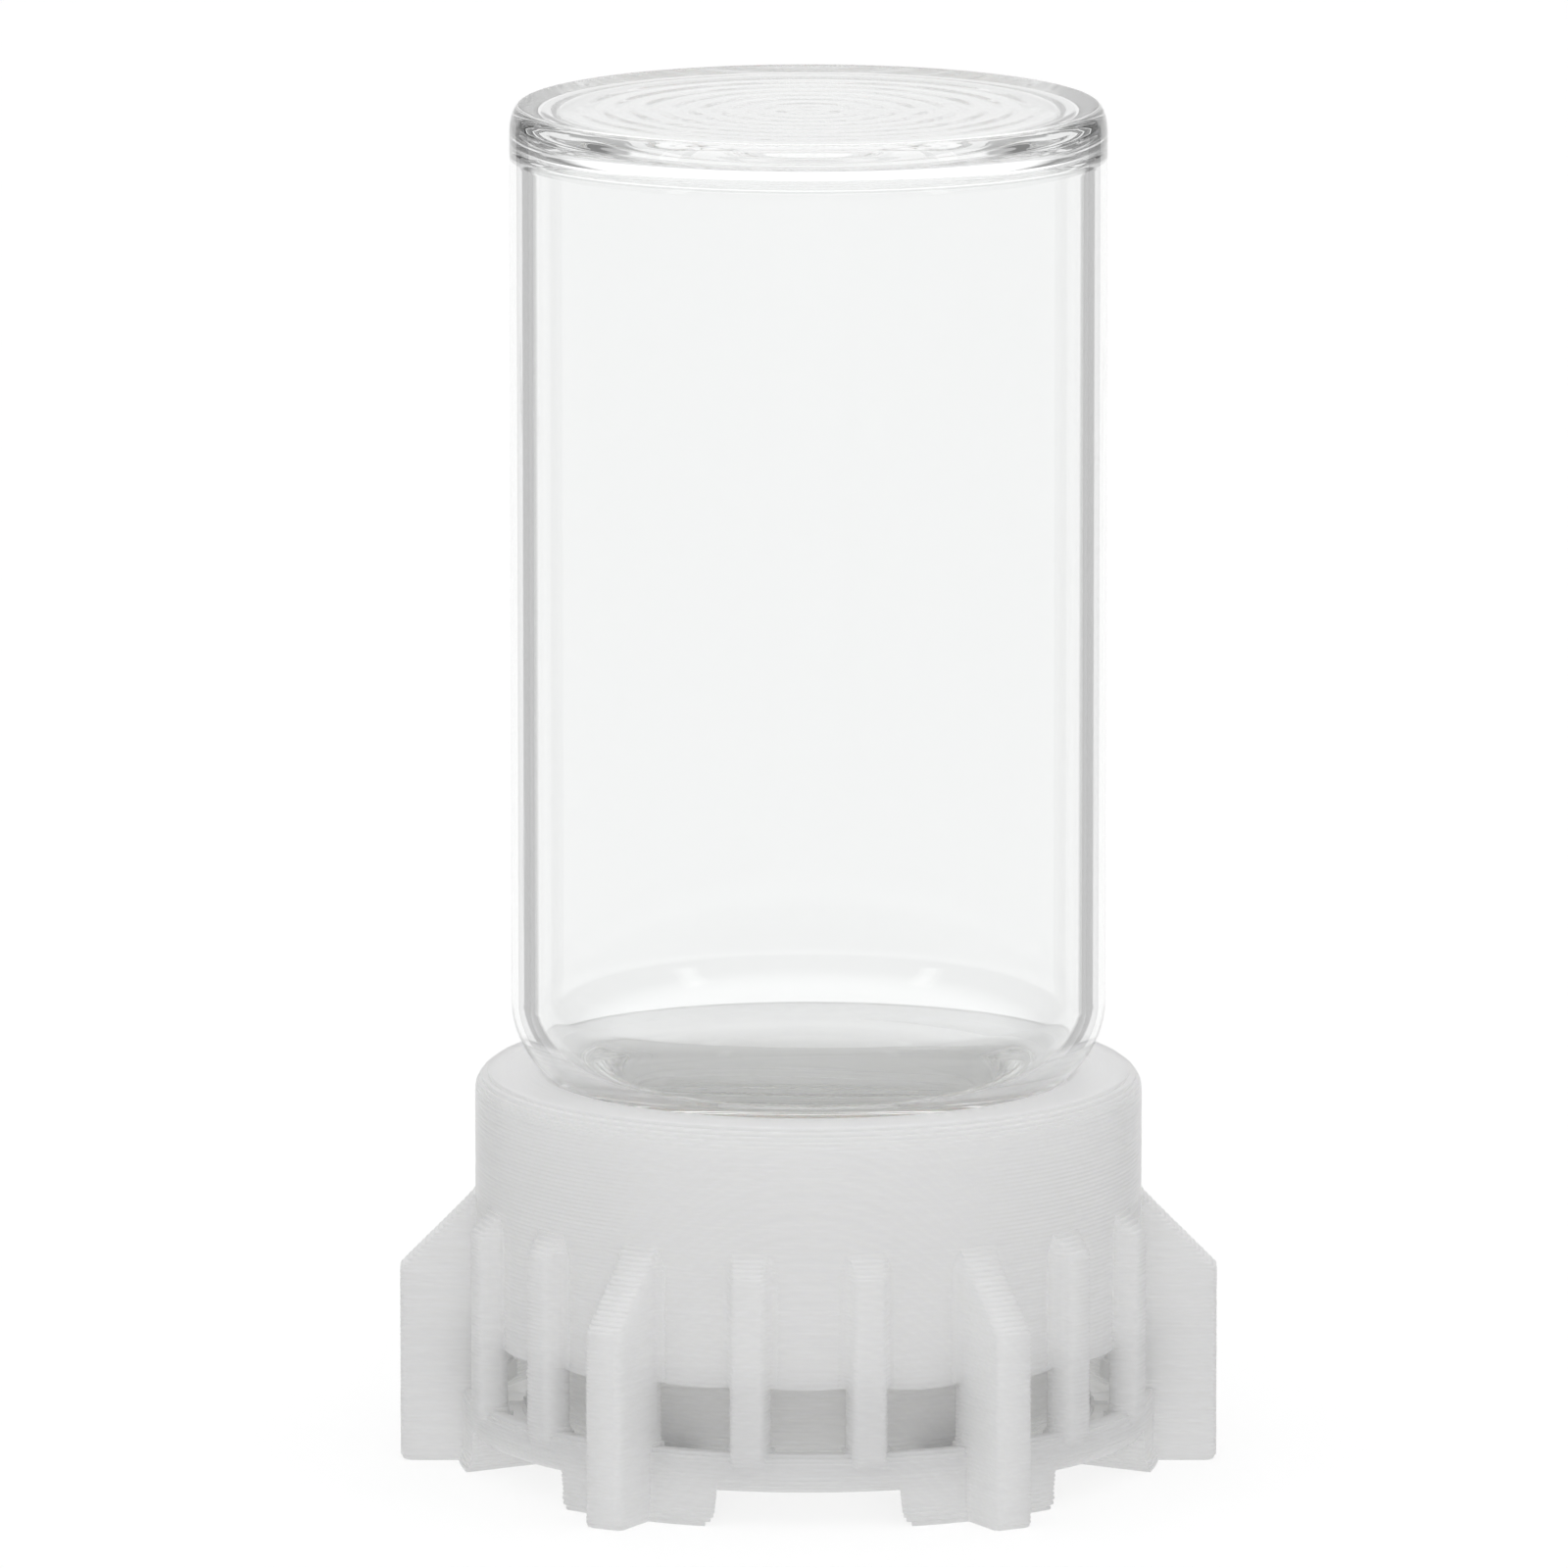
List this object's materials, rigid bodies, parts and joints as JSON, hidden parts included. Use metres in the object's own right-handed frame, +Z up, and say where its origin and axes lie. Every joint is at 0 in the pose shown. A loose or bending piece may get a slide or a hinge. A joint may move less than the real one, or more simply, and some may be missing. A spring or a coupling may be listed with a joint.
{
  "type": "gravity poultry waterer",
  "caption": "Small gravity waterer: an upside-down glass bottle screwed into a printed base with a ring trough behind upright bars, standing on finned feet.",
  "frame": {"origin": "on the vertical axis in the plane the feet stand on", "axes": "+Z up along the bottle's and the base's common axis; the front, a drinking window between two narrow bars, faces -Y; two of the six fins lie on the X axis"},
  "size_m": [0.0378, 0.0336, 0.0634],
  "materials": {
    "clear_glass": "clear, smooth, fine scratches",
    "silicone": "milky, satin",
    "printed_plastic": "natural translucent, 0.2 mm layer ridges, satin sheen"
  },
  "bodies": {
    "base": {"printed_base": "printed_plastic"},
    "gasket": {"mouth_gasket": "silicone"},
    "bottle": {"glass_bottle": "clear_glass"}
  },
  "joints": [
    {"name": "bottle_lift", "type": "slide", "parent": "base", "child": "gasket", "axis": [0, 0, 1], "range_m": [0, 0.0135]},
    {"name": "bottle_turn", "type": "hinge", "parent": "gasket", "child": "bottle", "pos_m": [0, 0, 0.0064], "axis": [0, 0, 1], "range_deg": [0, 1530]}
  ],
  "couplings": [
    {"joint": "bottle_lift", "follows": "bottle_turn", "m_per_rad": 0.00050532}
  ]
}
